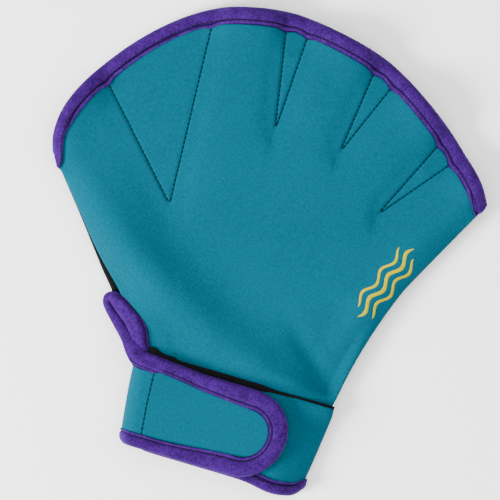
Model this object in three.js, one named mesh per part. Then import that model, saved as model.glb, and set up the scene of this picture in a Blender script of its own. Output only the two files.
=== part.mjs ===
import * as THREE from 'three';

// Webbed swim glove for the right hand, laid down on its palm with open fingertips.
// x runs from the thumb side to the little-finger side, y from the wrist to the fingers, z up.

// Outline sizes in mm
const GLOVE_LENGTH = 230;
const GLOVE_WIDTH = 218;
const CUFF_WIDTH = 103.4;
const CUFF_HEIGHT = 47;

// The cuff narrows towards the hem by this share of its width
const CUFF_TAPER = 0.097;
const CUFF_TAPER_POWER = 1.25;

// Inner heights in mm
const CUFF_OPENING = 9;
const PALM_OPENING = 15;
const MOUTH_OPENING = 9.5;

// Sheet, binding tape and clearance in mm
const SHEET = 2.2;
const TAPE = 0.7;
const TAPE_BULGE = 0.3;
const CLEARANCE = 0.35;

// Binding widths in mm
const MOUTH_BINDING = 10.5;
const SLIT_BINDING = 7;
const HEM_BINDING = 7;
const STRAP_SIDE_BINDING = 7.2;
const STRAP_END_BINDING = 10.5;

// Strap and cuff end in mm
const STRAP_REACH = 86.6;
const STRAP_TOP_MARGIN = 1.5;
const STRAP_HEM_MARGIN = 0.8;
const STRAP_FOLD = 8;
const STRAP_ROOT = 12.6;
const CUFF_END_SETBACK = 8.6;
const CUFF_CORNER = 8;
const CUFF_ROUND = 20;
const CUFF_ROUND_POWER = 2.3;
const PATCH_LENGTH = 30;
const PATCH_MARGIN = 1;

// How far the palm panel shows past the back panel at the slit, and at the thumb's root, in mm
const PALM_REVEAL = 2.4;
const THUMB_REVEAL = 0.8;

// How far the slit's two edges bow outwards, in mm
const BACK_BOW = 1.5;
const PALM_BOW = 4;

// Side seams in mm
const SEAM_LIFT = 3;
const SEAM_LIFT_RUN = 14;
const FINGER_RUN = 15;
const PALM_RUN = 27;
const RUN_POWER = 2.2;
const MAX_SLANT = 1.5;
const SLOPE_STEP = 1;

// Distances over which the inner height changes, in mm
const CUFF_RISE = 42;
const MOUTH_RISE = 70;
const SEAT_MARGIN = 3;
const SEAT_RUN = 7;

// Colours
const TEAL = 0x037f95;
const BLACK = 0x15171b;
const PURPLE = 0x4e3798;

// Faces along and across the pieces
const LOWER_ROWS = 8;
const NOTCH_ROW = 4;
const UPPER_ROWS = 6;
const LONGEST_STEP = 13;
const LARGEST_TURN = 0.42;
const ROUND_STEPS = 10;
const CORNER_STEPS = 4;
const ARC_PLACES = 60;
const PATH_STEP = 0.25;

// What a tape adds to each side of a sheet
const TAPE_STACK = CLEARANCE + TAPE + TAPE_BULGE;
const EDGE_SETBACK = TAPE + CLEARANCE;
const HAND_LENGTH = GLOVE_LENGTH - CUFF_HEIGHT;

// Lines that run up the hand, from the thumb side to the little-finger side.
// Each has a foot at the cuff, a turn at the finger root and a top at the fingertip edge.
// Top, middle and turn are shares of the glove's width and of the hand's length, the foot is a share
// of the cuff's width. Webs lie between the two lines of a pair.
const LINES = [
  { name: 'thumb side', topX: -0.558, topY: 0.467, turnX: -0.448, turnY: 0.309, footX: -0.457,
    midX: -0.326, midY: 0.126, cells: 3, spread: 'start', web: false },
  { name: 'thumb', topX: -0.553, topY: 0.577, turnX: -0.358, turnY: 0.357, footX: -0.360,
    cells: 3, spread: 'end', web: false },
  { name: 'thumb web start', topX: -0.498, topY: 0.710, turnX: -0.263, turnY: 0.407, footX: -0.300,
    cells: 3, spread: 'even', web: true },
  { name: 'thumb web middle', topX: -0.399, topY: 0.853, turnX: -0.258, turnY: 0.409, footX: -0.275,
    cells: 3, spread: 'even', web: true },
  { name: 'thumb web end', topX: -0.283, topY: 0.953, turnX: -0.254, turnY: 0.412, footX: -0.250,
    cells: 6, spread: 'both', web: false },
  { name: 'second web start', topX: -0.122, topY: 1.000, turnX: -0.078, turnY: 0.689, footX: -0.149,
    cells: 2, spread: 'even', web: true },
  { name: 'second web end', topX: -0.062, topY: 0.998, turnX: -0.071, turnY: 0.689, footX: -0.119,
    cells: 6, spread: 'both', web: false },
  { name: 'third web start', topX: 0.111, topY: 0.957, turnX: 0.080, turnY: 0.681, footX: 0.068,
    cells: 2, spread: 'even', web: true },
  { name: 'third web end', topX: 0.168, topY: 0.927, turnX: 0.088, turnY: 0.681, footX: 0.098,
    cells: 6, spread: 'both', web: false },
  { name: 'fourth web start', topX: 0.312, topY: 0.813, turnX: 0.206, turnY: 0.548, footX: 0.236,
    cells: 2, spread: 'even', web: true },
  { name: 'fourth web end', topX: 0.357, topY: 0.765, turnX: 0.212, turnY: 0.544, footX: 0.265,
    cells: 3, spread: 'start', web: false },
  { name: 'little finger', topX: 0.413, topY: 0.700, turnX: 0.268, turnY: 0.445, footX: 0.375,
    cells: 3, spread: 'end', web: false },
  { name: 'little finger side', topX: 0.440, topY: 0.648, turnX: 0.314, turnY: 0.363, footX: 0.490,
    midX: 0.263, midY: 0.183, cells: 0, spread: 'even', web: false },
];

// Dents of the back, each along a straight run. Places and widths are shares of the glove's width
// and of the hand's length, depth is a share of the inner height there.
const DENTS = [
  { name: 'thumb valley', fromX: -0.41, fromY: 0.50, toX: -0.26, toY: 0.40, width: 0.060, depth: 0.22 },
  { name: 'palm valley', fromX: -0.26, fromY: 0.38, toX: 0.00, toY: 0.20, width: 0.070, depth: 0.26 },
  { name: 'wrist valley', fromX: 0.00, fromY: 0.20, toX: 0.21, toY: 0.03, width: 0.055, depth: 0.30 },
  { name: 'side pucker', fromX: 0.12, fromY: 0.15, toX: 0.215, toY: 0.05, width: 0.020, depth: 0.20 },
];

const clamp01 = (value) => Math.min(1, Math.max(0, value));
const mix = (a, b, share) => a + (b - a) * share;
const mixPoint = (p, q, share) => [mix(p[0], q[0], share), mix(p[1], q[1], share)];
const ease = (from, to, value) => {
  const t = clamp01((value - from) / (to - from));
  return t * t * (3 - 2 * t);
};
function direction(p, q) {
  const length = Math.hypot(q[0] - p[0], q[1] - p[1]);
  return [(q[0] - p[0]) / length, (q[1] - p[1]) / length];
}

const handX = (share) => share * GLOVE_WIDTH;
const handY = (share) => CUFF_HEIGHT + CLEARANCE + share * (HAND_LENGTH - CLEARANCE);

// A closed body built from faces. Points that meet are shared and the faces end up facing out.
class Body {
  constructor() {
    this.points = [];
    this.faces = [];
    this.known = new Map();
  }

  point(p) {
    const key = p.map((value) => Math.round(value * 1e4)).join(' ');
    if (!this.known.has(key)) {
      this.known.set(key, this.points.length);
      this.points.push(p);
    }
    return this.known.get(key);
  }

  triangle(p, q, r) {
    const face = [this.point(p), this.point(q), this.point(r)];
    if (new Set(face).size === 3) this.faces.push(face);
  }

  quad(p, q, r, s) {
    this.triangle(p, q, r);
    this.triangle(p, r, s);
  }

  volume() {
    return this.faces.reduce((sum, face) => {
      const [p, q, r] = face.map((n) => new THREE.Vector3(...this.points[n]));
      return sum + p.dot(q.cross(r)) / 6;
    }, 0);
  }

  mesh(name, color, roughness) {
    if (this.volume() < 0) this.faces.forEach((face) => face.reverse());
    const geometry = new THREE.BufferGeometry();
    geometry.setAttribute('position', new THREE.Float32BufferAttribute(this.points.flat(), 3));
    geometry.setIndex(this.faces.flat());
    geometry.computeVertexNormals();
    const material = new THREE.MeshStandardMaterial({ color, roughness, metalness: 0 });
    const mesh = new THREE.Mesh(geometry, material);
    mesh.name = name;
    return mesh;
  }
}

// Distance in the plane from a point to a chain of straight runs
function chainDistance(x, y, chain) {
  let best = Infinity;
  for (let n = 0; n + 1 < chain.length; n += 1) {
    const [ax, ay] = chain[n];
    const dx = chain[n + 1][0] - ax;
    const dy = chain[n + 1][1] - ay;
    const t = clamp01(((x - ax) * dx + (y - ay) * dy) / (dx * dx + dy * dy || 1));
    best = Math.min(best, Math.hypot(x - ax - t * dx, y - ay - t * dy));
  }
  return best;
}

// Places on the hand's lines
const topCurve = new THREE.CatmullRomCurve3(
  LINES.map((line) => new THREE.Vector3(handX(line.topX), handY(line.topY), 0)),
  false,
  'centripetal',
);
const topPlace = (n, share) => {
  const p = topCurve.getPoint(Math.min(1, (n + share) / (LINES.length - 1)));
  return [p.x, p.y];
};
const turnPlace = (n) => [handX(LINES[n].turnX), handY(LINES[n].turnY)];

// The two panels differ on the thumb side and at the corner by the strap
const STRAP_TOP = CUFF_HEIGHT - STRAP_TOP_MARGIN;
const PANELS = {
  back: {
    inward: PALM_REVEAL,
    turnInward: THUMB_REVEAL,
    bow: BACK_BOW,
    footX: LINES[0].footX,
    footY: CUFF_HEIGHT + CLEARANCE,
  },
  palm: { inward: 0, turnInward: 0, bow: PALM_BOW, footX: -0.502, footY: STRAP_TOP + CLEARANCE },
};

function lineEnds(n, panel) {
  const line = LINES[n];
  const thumbSide = n === 0;
  const foot = thumbSide
    ? [panel.footX * CUFF_WIDTH, panel.footY]
    : [line.footX * CUFF_WIDTH, CUFF_HEIGHT + CLEARANCE];
  const turn = turnPlace(n);
  turn[0] += thumbSide ? panel.turnInward : 0;
  const mid = line.midX === undefined
    ? mixPoint(foot, turn, 0.5)
    : [handX(line.midX) + (thumbSide ? panel.inward : 0), handY(line.midY)];
  return { foot, mid, turn, bow: thumbSide ? panel.bow : 0 };
}

// One line up the hand, from the foot to the top, between two named lines
function lineBetween(n, share, panel) {
  const here = lineEnds(n, panel);
  const next = lineEnds(Math.min(n + 1, LINES.length - 1), panel);
  return {
    foot: mixPoint(here.foot, next.foot, share),
    mid: mixPoint(here.mid, next.mid, share),
    turn: mixPoint(here.turn, next.turn, share),
    bow: mix(here.bow, next.bow, share),
    top: topPlace(n, share),
  };
}

// A smooth bend through foot, middle and turn, bowed outwards below the middle
function lowerPlace(line, v) {
  const weights = [(1 - v) * (1 - 2 * v), 4 * v * (1 - v), v * (2 * v - 1)];
  const spots = [line.foot, line.mid, line.turn];
  const [x, y] = [0, 1].map((axis) => spots.reduce((sum, p, n) => sum + p[axis] * weights[n], 0));
  const bow = line.bow * Math.sin(2 * Math.PI * Math.min(v, 0.5));
  const [dx, dy] = direction(line.foot, line.mid);
  return [x - dy * bow, y + dx * bow];
}

// A place on the upper half of a line, a distance in from its top
function upperPlace(line, inset) {
  const length = Math.hypot(line.top[0] - line.turn[0], line.top[1] - line.turn[1]);
  return mixPoint(line.top, line.turn, inset / length);
}

const SPREADS = {
  even: (t) => t,
  both: (t) => 0.5 - 0.5 * Math.cos(Math.PI * t),
  start: (t) => 1 - Math.cos((Math.PI * t) / 2),
  end: (t) => Math.sin((Math.PI * t) / 2),
};

function panelLines(panel) {
  const lines = [];
  LINES.forEach((line, n) => {
    for (let cell = 0; cell < line.cells; cell += 1) {
      lines.push(lineBetween(n, SPREADS[line.spread](cell / line.cells), panel));
    }
  });
  lines.push(lineBetween(LINES.length - 1, 0, panel));
  return lines;
}

// The side seams, the wrist slit and the webs that close the hand's hollow
const backLines = panelLines(PANELS.back);
const palmLines = panelLines(PANELS.palm);
const lowerChain = (line, from, to) => {
  const chain = [];
  for (let row = from; row <= to; row += 1) chain.push(lowerPlace(line, row / LOWER_ROWS));
  return chain;
};
const thumbSeam = [...lowerChain(backLines[0], NOTCH_ROW, LOWER_ROWS), backLines[0].top];
const lastLine = backLines[backLines.length - 1];
const littleSeam = [...lowerChain(lastLine, 0, LOWER_ROWS), lastLine.top];
const slitEdges = [backLines[0], palmLines[0]].map((line) => lowerChain(line, 0, NOTCH_ROW));
const topEdge = backLines.map((line) => line.top);
const WEB_OVERRUN = 1.25;
const webs = [];
LINES.forEach((line, n) => {
  const opens = line.web && !LINES[n - 1].web;
  if (!opens) return;
  const last = LINES[n + 1].web ? n + 2 : n + 1;
  const reach = (m) => mixPoint(turnPlace(m), topPlace(m, 0), WEB_OVERRUN);
  webs.push({ start: [turnPlace(n), reach(n)], end: [turnPlace(last), reach(last)] });
});

const sideOf = (x, y, [a, b]) => (b[0] - a[0]) * (y - a[1]) - (b[1] - a[1]) * (x - a[0]);

function webDistance(x, y, web) {
  const between = sideOf(x, y, web.start) <= 0 && sideOf(x, y, web.end) >= 0;
  const above = sideOf(x, y, [web.start[0], web.end[0]]) >= 0;
  if (between && above) return 0;
  return Math.min(chainDistance(x, y, web.start), chainDistance(x, y, web.end));
}

function closedDistance(x, y) {
  const near = webs.map((web) => webDistance(x, y, web));
  return Math.min(chainDistance(x, y, thumbSeam), chainDistance(x, y, littleSeam), ...near);
}

// How strongly a tape near this place pushes the sheets apart, 0 to 1
const nearTape = (distance, width) =>
  1 - ease(width + SEAT_MARGIN, width + SEAT_MARGIN + SEAT_RUN, distance);

function tapeShare(x, y) {
  const slit = Math.min(...slitEdges.map((edge) => chainDistance(x, y, edge)));
  return Math.max(
    nearTape(chainDistance(x, y, topEdge), MOUTH_BINDING),
    nearTape(slit, SLIT_BINDING),
  );
}

function dentShare(x, y) {
  const shares = DENTS.map((dent) => {
    const run = [[handX(dent.fromX), handY(dent.fromY)], [handX(dent.toX), handY(dent.toY)]];
    const away = chainDistance(x, y, run) / (dent.width * GLOVE_WIDTH);
    return dent.depth * Math.exp(-away * away);
  });
  return Math.max(...shares);
}

// Height of the palm panel's underside
function palmUnder(x, y) {
  const seam = Math.min(chainDistance(x, y, thumbSeam), chainDistance(x, y, littleSeam));
  const rise = SEAM_LIFT * clamp01(1 - seam / SEAM_LIFT_RUN) ** 2;
  const cuff = 1 - ease(SEAT_MARGIN, SEAT_MARGIN + SEAT_RUN, y - CUFF_HEIGHT);
  return Math.max(rise, TAPE_STACK * Math.max(tapeShare(x, y), cuff));
}

// Inner height between the panels
function innerHeight(x, y) {
  const fromMouth = ease(MOUTH_BINDING, MOUTH_BINDING + MOUTH_RISE, chainDistance(x, y, topEdge));
  const fromCuff = ease(0, CUFF_RISE, y - CUFF_HEIGHT);
  const full = mix(MOUTH_OPENING, mix(CUFF_OPENING, PALM_OPENING, fromCuff), fromMouth);
  const run = mix(FINGER_RUN, PALM_RUN, fromMouth);
  const open = 1 - (1 - clamp01(closedDistance(x, y) / run)) ** RUN_POWER;
  const seat = 2 * TAPE_STACK * tapeShare(x, y);
  return Math.hypot(seat, full * open * (1 - dentShare(x, y)));
}

const backUnder = (x, y) => palmUnder(x, y) + SHEET + CLEARANCE + innerHeight(x, y);

function backThickness(x, y) {
  const slopeX = (backUnder(x + SLOPE_STEP, y) - backUnder(x - SLOPE_STEP, y)) / (2 * SLOPE_STEP);
  const slopeY = (backUnder(x, y + SLOPE_STEP) - backUnder(x, y - SLOPE_STEP)) / (2 * SLOPE_STEP);
  return SHEET * Math.min(MAX_SLANT, Math.hypot(1, slopeX, slopeY));
}

// Where a point over (side 1) or under (side -1) a sheet lies, a distance off its face
const placeBack = ([x, y], side, off) => {
  const face = backUnder(x, y) + (side > 0 ? backThickness(x, y) : 0);
  return [x, y, face + side * off];
};
const placePalm = ([x, y], side, off) => [x, y, palmUnder(x, y) + (side > 0 ? SHEET : 0) + side * off];

// A sheet over a grid of places
function sheetBody(grid, place, under = 0, over = 0) {
  const body = new Body();
  const top = grid.map((line) => line.map((p) => place(p, 1, over)));
  const low = grid.map((line) => line.map((p) => place(p, under > 0 ? 1 : -1, under)));
  const across = grid.length - 1;
  const along = grid[0].length - 1;
  for (let i = 0; i < across; i += 1) {
    for (let j = 0; j < along; j += 1) {
      body.quad(top[i + 1][j], top[i + 1][j + 1], top[i][j + 1], top[i][j]);
      body.quad(low[i][j], low[i][j + 1], low[i + 1][j + 1], low[i + 1][j]);
    }
    body.quad(low[i][0], low[i + 1][0], top[i + 1][0], top[i][0]);
    body.quad(low[i + 1][along], low[i][along], top[i][along], top[i + 1][along]);
  }
  for (let j = 0; j < along; j += 1) {
    body.quad(low[0][j + 1], low[0][j], top[0][j], top[0][j + 1]);
    body.quad(low[across][j], low[across][j + 1], top[across][j + 1], top[across][j]);
  }
  return body;
}

// The panel's grid. Its edge stands back where a tape goes round it.
function panelGrid(lines) {
  const slitInsets = [EDGE_SETBACK, SLIT_BINDING / 2, SLIT_BINDING];
  return lines.map((line, n) => {
    const places = [];
    for (let row = 0; row <= LOWER_ROWS; row += 1) {
      const bound = n < slitInsets.length && row <= NOTCH_ROW;
      places.push(bound
        ? stepIn(lowerPlace(lines[0], row / LOWER_ROWS), slitInward(lines[0], row), slitInsets[n])
        : lowerPlace(line, row / LOWER_ROWS));
    }
    const length = Math.hypot(line.top[0] - line.turn[0], line.top[1] - line.turn[1]);
    for (let row = 1; row <= UPPER_ROWS; row += 1) {
      places.push(upperPlace(line, length - ((length - MOUTH_BINDING) * row) / UPPER_ROWS));
    }
    places.push(upperPlace(line, MOUTH_BINDING / 2), upperPlace(line, EDGE_SETBACK));
    return places;
  });
}

const stepIn = (p, inward, distance) => [p[0] + inward[0] * distance, p[1] + inward[1] * distance];

// Direction from the slit's edge into the panel
function slitInward(line, row) {
  const from = lowerPlace(line, Math.max(0, row - 1) / LOWER_ROWS);
  const to = lowerPlace(line, (row + 1) / LOWER_ROWS);
  const [dx, dy] = direction(from, to);
  return [dy, -dx];
}

// A folded tape round an edge. Each stop has the edge's place, the direction into the sheet and the
// tape's width there.
function tapeBody(stops, place) {
  const body = new Body();
  const half = SHEET / 2;
  const rings = stops.map(({ edge, inward, width }) => {
    const at = (inset, side, off) => place(stepIn(edge, inward, inset), side, off);
    const outer = [
      at(width, 1, CLEARANCE + TAPE),
      at(width / 2, 1, TAPE_STACK),
      at(2 * TAPE, 1, CLEARANCE + TAPE),
      at(0, 1, -half / 2),
      at(0, -1, -half / 2),
      at(2 * TAPE, -1, CLEARANCE + TAPE),
      at(width, -1, CLEARANCE + TAPE),
    ];
    const inner = [
      at(width, 1, CLEARANCE),
      at(width / 2, 1, CLEARANCE),
      at(TAPE, 1, CLEARANCE),
      at(TAPE, -1, CLEARANCE),
      at(width / 2, -1, CLEARANCE),
      at(width, -1, CLEARANCE),
    ];
    return { outer, inner, loop: [...outer, ...inner.slice().reverse()] };
  });
  for (let n = 0; n + 1 < rings.length; n += 1) {
    const here = rings[n].loop;
    const next = rings[n + 1].loop;
    here.forEach((p, m) => {
      const after = (m + 1) % here.length;
      body.quad(p, next[m], next[after], here[after]);
    });
  }
  const close = ({ outer, inner }, flip) => {
    const piece = (...p) => {
      const ordered = flip ? p.reverse() : p;
      if (p.length === 3) body.triangle(...ordered);
      else body.quad(...ordered);
    };
    piece(outer[0], outer[1], inner[1], inner[0]);
    piece(outer[1], outer[2], inner[2], inner[1]);
    piece(outer[2], outer[3], inner[2]);
    piece(outer[3], outer[4], inner[3], inner[2]);
    piece(outer[4], outer[5], inner[3]);
    piece(outer[5], outer[6], inner[4], inner[3]);
    piece(outer[6], inner[5], inner[4]);
  };
  close(rings[0], false);
  close(rings[rings.length - 1], true);
  return body;
}

const mouthStops = (lines) => lines.map((line) => ({
  edge: line.top,
  inward: direction(line.top, line.turn),
  width: MOUTH_BINDING,
}));

function slitStops(line) {
  const stops = [];
  for (let row = NOTCH_ROW; row >= 0; row -= 1) {
    const edge = lowerPlace(line, row / LOWER_ROWS);
    stops.push({ edge, inward: slitInward(line, row), width: SLIT_BINDING });
  }
  return stops;
}

// A path in the x-z plane that can be asked for a place at a distance along it
class Path {
  constructor(places) {
    this.places = places;
    this.runs = [0];
    for (let n = 1; n < places.length; n += 1) {
      const [ax, az] = places[n - 1];
      this.runs.push(this.runs[n - 1] + Math.hypot(places[n][0] - ax, places[n][1] - az));
    }
    this.length = this.runs[this.runs.length - 1];
  }

  at(distance) {
    let n = 1;
    while (n < this.places.length - 1 && this.runs[n] < distance) n += 1;
    const share = (distance - this.runs[n - 1]) / (this.runs[n] - this.runs[n - 1]);
    return mixPoint(this.places[n - 1], this.places[n], share);
  }

  normal(distance) {
    const [dx, dz] = direction(this.at(distance - 2 * PATH_STEP), this.at(distance + 2 * PATH_STEP));
    return [-dz, dx];
  }

  // Distances along a stretch, close together where the path bends
  stops(from, to) {
    const stops = [from];
    let last = from;
    for (let s = from; s < to; s += PATH_STEP) {
      const [ax, az] = this.normal(last);
      const [bx, bz] = this.normal(s);
      const turned = Math.acos(clamp01(ax * bx + az * bz));
      if (s - last > LONGEST_STEP || turned > LARGEST_TURN) {
        stops.push(s);
        last = s;
      }
    }
    if (to - last < LONGEST_STEP / 4 && stops.length > 1) stops.pop();
    stops.push(to);
    return stops;
  }
}

const arc = (place) => Array.from({ length: ARC_PLACES + 1 }, (_, n) => place(n / ARC_PLACES));

// Cuff: from its hidden end over the back, round the little-finger side and back under the palm
const cuffHalf = (CUFF_OPENING + SHEET) / 2;
const cuffCentre = TAPE_STACK + SHEET / 2 + cuffHalf;
const cuffRight = CUFF_WIDTH / 2 - SHEET / 2;
const cuffBackStart = -CUFF_WIDTH / 2 + CUFF_END_SETBACK;
const cuffPalmEnd = -CUFF_WIDTH / 2 + STRAP_ROOT;
const rounded = (share) => (1 - clamp01(share) ** CUFF_ROUND_POWER) ** (1 / CUFF_ROUND_POWER);
const cuffRound = (turn) => {
  const share = Math.sin((Math.PI / 2) * turn);
  return [cuffRight - CUFF_ROUND * (1 - share), cuffHalf * rounded(share)];
};
const cuffPath = new Path([
  [cuffBackStart, cuffCentre + cuffHalf],
  ...arc((t) => [cuffRound(t)[0], cuffCentre + cuffRound(t)[1]]),
  ...arc((t) => [cuffRound(1 - t)[0], cuffCentre - cuffRound(1 - t)[1]]).slice(1),
  [cuffPalmEnd, cuffCentre - cuffHalf],
]);
const taper = (y) => 1 - CUFF_TAPER * (1 - clamp01(y / CUFF_HEIGHT)) ** CUFF_TAPER_POWER;
const placeOn = (path) => ([s, y], side, off) => {
  const [x, z] = path.at(s);
  const [nx, nz] = path.normal(s);
  const reach = side * (SHEET / 2 + off);
  return [(x + nx * reach) * taper(y), y, z + nz * reach];
};
const placeCuff = placeOn(cuffPath);

// The hem rises in a round corner at the cuff's hidden end
function hemHeight(s, inset) {
  if (s >= CUFF_CORNER) return inset;
  const radius = CUFF_CORNER - inset;
  return CUFF_CORNER - Math.sqrt(Math.max(0, radius ** 2 - (CUFF_CORNER - s) ** 2));
}

const cuffStops = [
  ...[0, 0.25, 0.6].map((share) => mix(EDGE_SETBACK, CUFF_CORNER, share)),
  ...cuffPath.stops(CUFF_CORNER, cuffPath.length),
];

function cuffGrid() {
  return cuffStops.map((s) => {
    const low = hemHeight(s, EDGE_SETBACK);
    return [0, 0.15, 0.5, 1].map((share) => [s, mix(low, CUFF_HEIGHT, share)]);
  });
}

function hemStops() {
  const stops = [1, 0.5].map((share) => ({
    edge: [0, mix(CUFF_CORNER, CUFF_HEIGHT, share)],
    inward: [1, 0],
    width: HEM_BINDING,
  }));
  for (let n = 0; n <= CORNER_STEPS; n += 1) {
    const angle = (Math.PI / 2) * (n / CORNER_STEPS);
    const inward = [Math.cos(angle), Math.sin(angle)];
    const centre = [CUFF_CORNER, CUFF_CORNER];
    stops.push({ edge: stepIn(centre, inward, -CUFF_CORNER), inward, width: HEM_BINDING });
  }
  cuffPath.stops(CUFF_CORNER, cuffPath.length).slice(1).forEach((s) => {
    stops.push({ edge: [s, 0], inward: [0, 1], width: HEM_BINDING });
  });
  return stops;
}

// Strap: from under the palm round the thumb side and over the back to its round end
const strapWidth = CUFF_HEIGHT - STRAP_TOP_MARGIN - STRAP_HEM_MARGIN;
const strapRadius = strapWidth / 2;
const strapAxis = STRAP_HEM_MARGIN + strapRadius;
const strapLow = TAPE_STACK + SHEET / 2;
const strapOver = (x) => {
  const past = (x - (cuffRight - CUFF_ROUND)) / CUFF_ROUND;
  const cuffTop = cuffCentre + cuffHalf * rounded(past) + SHEET / 2;
  return cuffTop + 2 * TAPE_STACK + CLEARANCE + SHEET / 2;
};
const foldX = -CUFF_WIDTH / 2 + SHEET / 2 + STRAP_FOLD;
const foldHalf = (strapOver(foldX) - strapLow) / 2;
const strapTip = -CUFF_WIDTH / 2 + STRAP_REACH;
const strapPath = new Path([
  [cuffPalmEnd - CLEARANCE, strapLow],
  ...arc((t) => [
    foldX - STRAP_FOLD * Math.sin(Math.PI * t),
    strapLow + foldHalf * (1 - Math.cos(Math.PI * t)),
  ]),
  ...arc((t) => [mix(foldX, strapTip, t), strapOver(mix(foldX, strapTip, t))]).slice(1),
]);
const placeStrap = placeOn(strapPath);

function strapStops() {
  const centre = strapPath.length - strapRadius;
  const along = strapPath.stops(0, centre);
  const width = (s) => mix(STRAP_SIDE_BINDING, STRAP_END_BINDING, ease(centre - strapWidth, centre, s));
  const side = (s, sign) => ({
    edge: [s, strapAxis + sign * strapRadius],
    inward: [0, -sign],
    width: width(s),
    spine: [s, strapAxis],
  });
  const stops = along.map((s) => side(s, 1));
  for (let n = 1; n < ROUND_STEPS; n += 1) {
    const angle = Math.PI * (0.5 - n / ROUND_STEPS);
    const inward = [-Math.cos(angle), -Math.sin(angle)];
    const spine = [centre, strapAxis];
    const edge = stepIn(spine, inward, -strapRadius);
    stops.push({ edge, inward, width: STRAP_END_BINDING, spine });
  }
  return [...stops, ...along.reverse().map((s) => side(s, -1))];
}

// The strap's sheet is laid out from its edge in to the line along its middle
function strapGrid(stops) {
  return stops.map(({ edge, inward, width, spine }) => [
    stepIn(edge, inward, EDGE_SETBACK),
    stepIn(edge, inward, width / 2),
    stepIn(edge, inward, width),
    mixPoint(stepIn(edge, inward, width), spine, 0.5),
    spine,
  ]);
}

function strapBody(grid) {
  const body = new Body();
  const top = grid.map((line) => line.map((p) => placeStrap(p, 1, 0)));
  const low = grid.map((line) => line.map((p) => placeStrap(p, -1, 0)));
  const last = grid.length - 1;
  const deep = grid[0].length - 1;
  for (let i = 0; i < last; i += 1) {
    for (let j = 0; j < deep; j += 1) {
      body.quad(top[i][j], top[i][j + 1], top[i + 1][j + 1], top[i + 1][j]);
      body.quad(low[i + 1][j], low[i + 1][j + 1], low[i][j + 1], low[i][j]);
    }
    body.quad(low[i][0], top[i][0], top[i + 1][0], low[i + 1][0]);
  }
  for (let j = 0; j < deep; j += 1) {
    body.quad(low[0][j], low[0][j + 1], top[0][j + 1], top[0][j]);
    body.quad(low[last][j + 1], low[last][j], top[last][j], top[last][j + 1]);
  }
  return body;
}

// Hook patch between the strap's end and the cuff
function patchBody() {
  const end = strapTip - strapRadius - cuffBackStart;
  const width = strapWidth - 2 * (STRAP_END_BINDING + PATCH_MARGIN);
  const grid = [-1, -0.75, -0.5, -0.25, 0].map((a) => [-0.5, 0.5].map((b) => [
    end + a * PATCH_LENGTH,
    strapAxis + b * width,
  ]));
  return sheetBody(grid, placeCuff, CLEARANCE, 2 * TAPE_STACK);
}

const strapLayout = strapStops();
const glove = new THREE.Group();
glove.name = 'webbed_swim_glove';
glove.add(
  sheetBody(panelGrid(backLines), placeBack).mesh('back_panel', TEAL, 0.85),
  sheetBody(panelGrid(palmLines), placePalm).mesh('palm_panel', BLACK, 0.9),
  sheetBody(cuffGrid(), placeCuff).mesh('cuff_band', TEAL, 0.85),
  strapBody(strapGrid(strapLayout)).mesh('wrist_strap', TEAL, 0.85),
  patchBody().mesh('hook_patch', BLACK, 0.95),
  tapeBody(mouthStops(backLines), placeBack).mesh('top_binding_back', PURPLE, 0.9),
  tapeBody(mouthStops(palmLines), placePalm).mesh('top_binding_palm', PURPLE, 0.9),
  tapeBody(slitStops(backLines[0]), placeBack).mesh('slit_binding_back', PURPLE, 0.9),
  tapeBody(slitStops(palmLines[0]), placePalm).mesh('slit_binding_palm', PURPLE, 0.9),
  tapeBody(strapLayout, placeStrap).mesh('strap_binding', PURPLE, 0.9),
  tapeBody(hemStops(), placeCuff).mesh('hem_binding', PURPLE, 0.9),
);

// The glove stands on z = 0 with the middle of its outline over the origin
const box = new THREE.Box3().setFromObject(glove);
const middle = box.getCenter(new THREE.Vector3());
glove.children.forEach((mesh) => mesh.geometry.translate(-middle.x, -middle.y, -box.min.z));

export default glove;
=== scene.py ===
"""Webbed swim glove: cloth, bindings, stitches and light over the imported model."""

import math

import bpy
import numpy as np
from bpy.props import FloatProperty, FloatVectorProperty, PointerProperty
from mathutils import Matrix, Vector
from mathutils.bvhtree import BVHTree
from mathutils.kdtree import KDTree


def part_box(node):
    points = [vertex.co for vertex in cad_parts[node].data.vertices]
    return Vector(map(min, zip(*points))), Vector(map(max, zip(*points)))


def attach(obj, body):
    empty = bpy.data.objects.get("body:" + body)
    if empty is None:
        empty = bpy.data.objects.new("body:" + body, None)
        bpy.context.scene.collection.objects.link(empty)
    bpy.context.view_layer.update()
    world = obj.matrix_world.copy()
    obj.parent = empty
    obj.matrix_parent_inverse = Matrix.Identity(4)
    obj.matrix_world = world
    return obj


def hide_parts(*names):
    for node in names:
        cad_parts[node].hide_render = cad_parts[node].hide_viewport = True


bl_info = {
    "name": "Webbed swim glove",
    "version": (1, 0, 0),
    "blender": (4, 5, 0),
    "location": "View3D > Sidebar > Glove",
    "description": "Dresses the packed glove with cloth, bindings, stitches and light",
    "category": "Object",
}

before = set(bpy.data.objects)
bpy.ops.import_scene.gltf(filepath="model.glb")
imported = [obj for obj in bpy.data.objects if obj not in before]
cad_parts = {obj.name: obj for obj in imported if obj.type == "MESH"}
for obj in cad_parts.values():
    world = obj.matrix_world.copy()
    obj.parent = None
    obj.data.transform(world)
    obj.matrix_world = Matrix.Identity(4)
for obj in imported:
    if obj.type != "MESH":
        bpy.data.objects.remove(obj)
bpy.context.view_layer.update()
MM = 0.001

# The hem's middle on the floor, which places are measured from, and the glove's main sizes
HEM = np.array((12.86 * MM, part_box("hem_binding")[0][1], 0.0))
GLOVE_WIDTH = 218 * MM
GLOVE_LENGTH = 230 * MM
CUFF_HEIGHT = 47 * MM
CUFF_TAPER = 0.097
CUFF_TAPER_POWER = 1.25
SEAM_GAP = 0.35 * MM
STRAP_RADIUS = 22.35 * MM
STRAP_AXIS = 23.15 * MM
STRAP_END_CENTRE = 12.55 * MM
STRAP_BACK_HEIGHT = 15 * MM

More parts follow.
